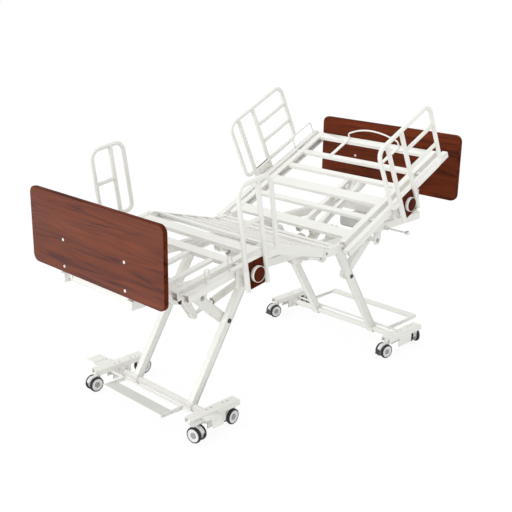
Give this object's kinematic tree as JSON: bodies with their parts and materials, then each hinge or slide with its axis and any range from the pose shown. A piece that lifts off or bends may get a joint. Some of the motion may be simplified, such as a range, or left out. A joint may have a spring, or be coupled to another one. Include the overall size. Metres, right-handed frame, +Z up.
{
  "type": "electric hospital bed",
  "caption": "Electric hospital bed with profiling steel deck, wood-grain head and foot boards, swing-down assist rails and leg-and-link height gear on rolling caster bases",
  "frame": {"origin": "centre of the footprint on the floor", "axes": "+X from the foot end to the head end, +Y toward the right side of the bed (the left side is -Y), +Z up"},
  "size_m": [2.082, 1.0382, 1.3494],
  "materials": {
    "white_paint": "smooth off-white powder coat",
    "wood_grain": "dark mahogany grain laminate, satin",
    "grey_plastic": "moulded mid grey, matt",
    "tyre_rubber": "black tyre with light hub",
    "black_plastic": "moulded black",
    "bright_steel": "ground rod"
  },
  "bodies": {
    "base_head": {"base_head": "white_paint"},
    "leg_head_left": {"leg_head_left": "white_paint"},
    "leg_head_right": {"leg_head_right": "white_paint"},
    "link_head": {"link_head": "white_paint"},
    "frame": {"main_frame": "white_paint", "seat_section": "white_paint", "footboard": "wood_grain", "headboard": "wood_grain", "control_box": "grey_plastic"},
    "link_foot": {"link_foot": "white_paint"},
    "leg_foot_left": {"leg_foot_left": "white_paint"},
    "leg_foot_right": {"leg_foot_right": "white_paint"},
    "base_foot": {"base_foot": "white_paint"},
    "actuator_height_foot": {"actuator_height_foot": "grey_plastic"},
    "actuator_rod_height_foot": {"actuator_rod_height_foot": "bright_steel"},
    "actuator_height_head": {"actuator_height_head": "grey_plastic"},
    "actuator_rod_height_head": {"actuator_rod_height_head": "bright_steel"},
    "backrest": {"backrest_section": "white_paint"},
    "thigh": {"thigh_section": "white_paint"},
    "foot": {"foot_section": "white_paint"},
    "actuator_back": {"actuator_back": "grey_plastic"},
    "actuator_rod_back": {"actuator_rod_back": "bright_steel"},
    "actuator_knee": {"actuator_knee": "grey_plastic"},
    "actuator_rod_knee": {"actuator_rod_knee": "bright_steel"},
    "outer_rail_foot_left": {"outer_rail_foot_left": "white_paint"},
    "assist_rail_mid_left": {"assist_rail_mid_left": "white_paint", "rail_panel_mid_left": "wood_grain"},
    "rail_knob_mid_left": {"rail_knob_mid_left": "wood_grain"},
    "outer_rail_back_left": {"outer_rail_back_left": "white_paint"},
    "assist_rail_back_left": {"assist_rail_back_left": "white_paint", "rail_panel_back_left": "wood_grain"},
    "rail_knob_back_left": {"rail_knob_back_left": "wood_grain"},
    "outer_rail_foot_right": {"outer_rail_foot_right": "white_paint"},
    "assist_rail_mid_right": {"assist_rail_mid_right": "white_paint", "rail_panel_mid_right": "wood_grain"},
    "rail_knob_mid_right": {"rail_knob_mid_right": "wood_grain"},
    "outer_rail_back_right": {"outer_rail_back_right": "white_paint"},
    "assist_rail_back_right": {"assist_rail_back_right": "white_paint", "rail_panel_back_right": "wood_grain"},
    "rail_knob_back_right": {"rail_knob_back_right": "wood_grain"},
    "caster_fork_foot_left_outer": {"caster_fork_foot_left_outer": "grey_plastic"},
    "wheels_foot_left_outer": {"wheels_foot_left_outer": "tyre_rubber"},
    "caster_fork_foot_left_inner": {"caster_fork_foot_left_inner": "grey_plastic"},
    "wheels_foot_left_inner": {"wheels_foot_left_inner": "tyre_rubber"},
    "caster_fork_foot_right_outer": {"caster_fork_foot_right_outer": "grey_plastic"},
    "wheels_foot_right_outer": {"wheels_foot_right_outer": "tyre_rubber"},
    "caster_fork_foot_right_inner": {"caster_fork_foot_right_inner": "grey_plastic"},
    "wheels_foot_right_inner": {"wheels_foot_right_inner": "tyre_rubber"},
    "caster_fork_head_left_outer": {"caster_fork_head_left_outer": "grey_plastic"},
    "wheels_head_left_outer": {"wheels_head_left_outer": "tyre_rubber"},
    "caster_fork_head_left_inner": {"caster_fork_head_left_inner": "grey_plastic"},
    "wheels_head_left_inner": {"wheels_head_left_inner": "tyre_rubber"},
    "caster_fork_head_right_outer": {"caster_fork_head_right_outer": "grey_plastic"},
    "wheels_head_right_outer": {"wheels_head_right_outer": "tyre_rubber"},
    "caster_fork_head_right_inner": {"caster_fork_head_right_inner": "grey_plastic"},
    "wheels_head_right_inner": {"wheels_head_right_inner": "tyre_rubber"},
    "brake_bar_foot": {"brake_bar_foot": "white_paint"},
    "brake_bar_head": {"brake_bar_head": "white_paint"},
    "clamp_screw": {"clamp_screw": "black_plastic"}
  },
  "joints": [
    {"name": "height", "type": "hinge", "parent": "base_head", "child": "leg_head_left", "pos_m": [0.699, 0, 0.065], "axis": [0, -1, 0], "range_deg": [0, 40]},
    {"name": "height_leg_head_right", "type": "hinge", "parent": "base_head", "child": "leg_head_right", "pos_m": [0.699, 0, 0.065], "axis": [0, -1, 0], "range_deg": [0, 40]},
    {"name": "height_link_head", "type": "hinge", "parent": "leg_head_left", "child": "link_head", "pos_m": [0.47114, 0, 0.42966], "axis": [0, -1, 0], "range_deg": [-80, 0]},
    {"name": "height_frame", "type": "hinge", "parent": "link_head", "child": "frame", "pos_m": [0.65837, 0, 0.59532], "axis": [0, -1, 0], "range_deg": [0, 40]},
    {"name": "height_link_foot", "type": "hinge", "parent": "frame", "child": "link_foot", "pos_m": [-0.62637, 0, 0.59532], "axis": [0, -1, 0], "range_deg": [0, 40]},
    {"name": "height_leg_foot_left", "type": "hinge", "parent": "link_foot", "child": "leg_foot_left", "pos_m": [-0.43913, 0, 0.42966], "axis": [0, -1, 0], "range_deg": [-80, 0]},
    {"name": "height_leg_foot_right", "type": "hinge", "parent": "link_foot", "child": "leg_foot_right", "pos_m": [-0.43913, 0, 0.42966], "axis": [0, -1, 0], "range_deg": [-80, 0]},
    {"name": "height_base_foot", "type": "hinge", "parent": "leg_foot_left", "child": "base_foot", "pos_m": [-0.667, 0, 0.065], "axis": [0, -1, 0], "range_deg": [0, 40]},
    {"name": "height_actuator_foot", "type": "hinge", "parent": "frame", "child": "actuator_height_foot", "pos_m": [-0.05, -0.06, 0.584], "axis": [0, -1, 0], "range_deg": [-10.37, 0]},
    {"name": "height_rod_foot", "type": "slide", "parent": "actuator_height_foot", "child": "actuator_rod_height_foot", "axis": [-0.9559, 0, -0.2936], "range_m": [-0.09851, 0]},
    {"name": "height_actuator_head", "type": "hinge", "parent": "frame", "child": "actuator_height_head", "pos_m": [0.082, 0.07, 0.584], "axis": [0, -1, 0], "range_deg": [0, 10.37]},
    {"name": "height_rod_head", "type": "slide", "parent": "actuator_height_head", "child": "actuator_rod_height_head", "axis": [0.9559, 0, -0.2936], "range_m": [-0.09851, 0]},
    {"name": "backrest", "type": "hinge", "parent": "frame", "child": "backrest", "pos_m": [0.149, 0, 0.697], "axis": [0, -1, 0], "range_deg": [-25, 40]},
    {"name": "thigh", "type": "hinge", "parent": "frame", "child": "thigh", "pos_m": [0.029, 0, 0.697], "axis": [0, 1, 0], "range_deg": [-15.3, 14.7]},
    {"name": "knee", "type": "hinge", "parent": "thigh", "child": "foot", "pos_m": [-0.40312, 0, 0.81522], "axis": [0, 1, 0], "range_deg": [-24.93, 25.95]},
    {"name": "back_actuator", "type": "hinge", "parent": "frame", "child": "actuator_back", "pos_m": [0.12, -0.1, 0.569], "axis": [0, -1, 0], "range_deg": [-20.55, 32.85]},
    {"name": "back_rod", "type": "slide", "parent": "actuator_back", "child": "actuator_rod_back", "axis": [0.8395, 0, 0.5434], "range_m": [-0.03511, 0.05605]},
    {"name": "knee_actuator", "type": "hinge", "parent": "frame", "child": "actuator_knee", "pos_m": [0.045, 0.07, 0.539], "axis": [0, 1, 0], "range_deg": [-11.32, 10.88]},
    {"name": "knee_rod", "type": "slide", "parent": "actuator_knee", "child": "actuator_rod_knee", "axis": [-0.8986, 0, 0.4388], "range_m": [-0.03625, 0.03484]},
    {"name": "width_foot_left", "type": "slide", "parent": "foot", "child": "outer_rail_foot_left", "axis": [0, -1, 0], "range_m": [0, 0.075]},
    {"name": "swing_mid_left", "type": "hinge", "parent": "outer_rail_foot_left", "child": "assist_rail_mid_left", "pos_m": [-0.55625, 0, 0.76367], "axis": [0, -1, 0], "range_deg": [0, 90]},
    {"name": "release_mid_left", "type": "slide", "parent": "assist_rail_mid_left", "child": "rail_knob_mid_left", "axis": [0, -1, 0], "range_m": [0, 0.008], "stiffness_N_per_m": 600},
    {"name": "width_back_left", "type": "slide", "parent": "backrest", "child": "outer_rail_back_left", "axis": [0, -1, 0], "range_m": [0, 0.075]},
    {"name": "swing_back_left", "type": "hinge", "parent": "outer_rail_back_left", "child": "assist_rail_back_left", "pos_m": [0.54025, 0, 0.86951], "axis": [0, 1, 0], "range_deg": [0, 90]},
    {"name": "release_back_left", "type": "slide", "parent": "assist_rail_back_left", "child": "rail_knob_back_left", "axis": [0, -1, 0], "range_m": [0, 0.008], "stiffness_N_per_m": 600},
    {"name": "width_foot_right", "type": "slide", "parent": "foot", "child": "outer_rail_foot_right", "axis": [0, 1, 0], "range_m": [0, 0.075]},
    {"name": "swing_mid_right", "type": "hinge", "parent": "outer_rail_foot_right", "child": "assist_rail_mid_right", "pos_m": [-0.55625, 0, 0.76367], "axis": [0, -1, 0], "range_deg": [0, 90]},
    {"name": "release_mid_right", "type": "slide", "parent": "assist_rail_mid_right", "child": "rail_knob_mid_right", "axis": [0, 1, 0], "range_m": [0, 0.008], "stiffness_N_per_m": 600},
    {"name": "width_back_right", "type": "slide", "parent": "backrest", "child": "outer_rail_back_right", "axis": [0, 1, 0], "range_m": [0, 0.075]},
    {"name": "swing_back_right", "type": "hinge", "parent": "outer_rail_back_right", "child": "assist_rail_back_right", "pos_m": [0.54025, 0, 0.86951], "axis": [0, 1, 0], "range_deg": [0, 90]},
    {"name": "release_back_right", "type": "slide", "parent": "assist_rail_back_right", "child": "rail_knob_back_right", "axis": [0, 1, 0], "range_m": [0, 0.008], "stiffness_N_per_m": 600},
    {"name": "swivel_foot_left_outer", "type": "hinge", "parent": "base_foot", "child": "caster_fork_foot_left_outer", "pos_m": [-0.794, -0.346, 0], "axis": [0, 0, 1], "continuous": true},
    {"name": "roll_foot_left_outer", "type": "hinge", "parent": "caster_fork_foot_left_outer", "child": "wheels_foot_left_outer", "pos_m": [-0.78948, -0.37161, 0.0375], "axis": [0.9848, 0.1736, 0], "continuous": true},
    {"name": "swivel_foot_left_inner", "type": "hinge", "parent": "base_foot", "child": "caster_fork_foot_left_inner", "pos_m": [-0.54, -0.346, 0], "axis": [0, 0, 1], "continuous": true},
    {"name": "roll_foot_left_inner", "type": "hinge", "parent": "caster_fork_foot_left_inner", "child": "wheels_foot_left_inner", "pos_m": [-0.56586, -0.34872, 0.0375], "axis": [0.1045, -0.9945, 0], "continuous": true},
    {"name": "swivel_foot_right_outer", "type": "hinge", "parent": "base_foot", "child": "caster_fork_foot_right_outer", "pos_m": [-0.794, 0.346, 0], "axis": [0, 0, 1], "continuous": true},
    {"name": "roll_foot_right_outer", "type": "hinge", "parent": "caster_fork_foot_right_outer", "child": "wheels_foot_right_outer", "pos_m": [-0.81996, 0.34736, 0.0375], "axis": [-0.0523, -0.9986, 0], "continuous": true},
    {"name": "swivel_foot_right_inner", "type": "hinge", "parent": "base_foot", "child": "caster_fork_foot_right_inner", "pos_m": [-0.54, 0.346, 0], "axis": [0, 0, 1], "continuous": true},
    {"name": "roll_foot_right_inner", "type": "hinge", "parent": "caster_fork_foot_right_inner", "child": "wheels_foot_right_inner", "pos_m": [-0.51406, 0.34781, 0.0375], "axis": [-0.0698, 0.9976, 0], "continuous": true},
    {"name": "swivel_head_left_outer", "type": "hinge", "parent": "base_head", "child": "caster_fork_head_left_outer", "pos_m": [0.826, -0.403, 0], "axis": [0, 0, 1], "continuous": true},
    {"name": "roll_head_left_outer", "type": "hinge", "parent": "caster_fork_head_left_outer", "child": "wheels_head_left_outer", "pos_m": [0.83821, -0.38004, 0.0375], "axis": [-0.8829, 0.4695, 0], "continuous": true},
    {"name": "swivel_head_left_inner", "type": "hinge", "parent": "base_head", "child": "caster_fork_head_left_inner", "pos_m": [0.572, -0.403, 0], "axis": [0, 0, 1], "continuous": true},
    {"name": "roll_head_left_inner", "type": "hinge", "parent": "caster_fork_head_left_inner", "child": "wheels_head_left_inner", "pos_m": [0.54632, -0.39893, 0.0375], "axis": [-0.1564, -0.9877, 0], "continuous": true},
    {"name": "swivel_head_right_outer", "type": "hinge", "parent": "base_head", "child": "caster_fork_head_right_outer", "pos_m": [0.826, 0.403, 0], "axis": [0, 0, 1], "continuous": true},
    {"name": "roll_head_right_outer", "type": "hinge", "parent": "caster_fork_head_right_outer", "child": "wheels_head_right_outer", "pos_m": [0.85143, 0.40841, 0.0375], "axis": [-0.2079, 0.9781, 0], "continuous": true},
    {"name": "swivel_head_right_inner", "type": "hinge", "parent": "base_head", "child": "caster_fork_head_right_inner", "pos_m": [0.572, 0.403, 0], "axis": [0, 0, 1], "continuous": true},
    {"name": "roll_head_right_inner", "type": "hinge", "parent": "caster_fork_head_right_inner", "child": "wheels_head_right_inner", "pos_m": [0.54657, 0.40841, 0.0375], "axis": [-0.2079, -0.9781, 0], "continuous": true},
    {"name": "brake_foot", "type": "hinge", "parent": "base_foot", "child": "brake_bar_foot", "pos_m": [-0.734, 0, 0.084], "axis": [0, 1, 0], "range_deg": [-18, 18]},
    {"name": "brake_head", "type": "hinge", "parent": "base_head", "child": "brake_bar_head", "pos_m": [0.73, 0, 0.084], "axis": [0, 1, 0], "range_deg": [-18, 18]},
    {"name": "clamp_turn", "type": "hinge", "parent": "frame", "child": "clamp_screw", "pos_m": [0.691, 0, 0.664], "axis": [0, 1, 0], "continuous": true}
  ],
  "couplings": [
    {"joint": "height_leg_head_right", "follows": "height", "ratio": 1},
    {"joint": "height_link_head", "follows": "height", "ratio": -2},
    {"joint": "height_frame", "follows": "height", "ratio": 1},
    {"joint": "height_link_foot", "follows": "height", "ratio": 1},
    {"joint": "height_leg_foot_left", "follows": "height", "ratio": -2},
    {"joint": "height_leg_foot_right", "follows": "height", "ratio": -2},
    {"joint": "height_base_foot", "follows": "height", "ratio": 1},
    {"joint": "height_actuator_foot", "follows": "height", "ratio": -0.2579},
    {"joint": "height_rod_foot", "follows": "height", "m_per_rad": -0.14082},
    {"joint": "height_actuator_head", "follows": "height", "ratio": 0.2579},
    {"joint": "height_rod_head", "follows": "height", "m_per_rad": -0.14082},
    {"joint": "knee", "follows": "thigh", "ratio": -1.6928},
    {"joint": "back_actuator", "follows": "backrest", "ratio": 0.82},
    {"joint": "back_rod", "follows": "backrest", "m_per_rad": 0.08},
    {"joint": "knee_actuator", "follows": "thigh", "ratio": 0.7364},
    {"joint": "knee_rod", "follows": "thigh", "m_per_rad": 0.135}
  ]
}
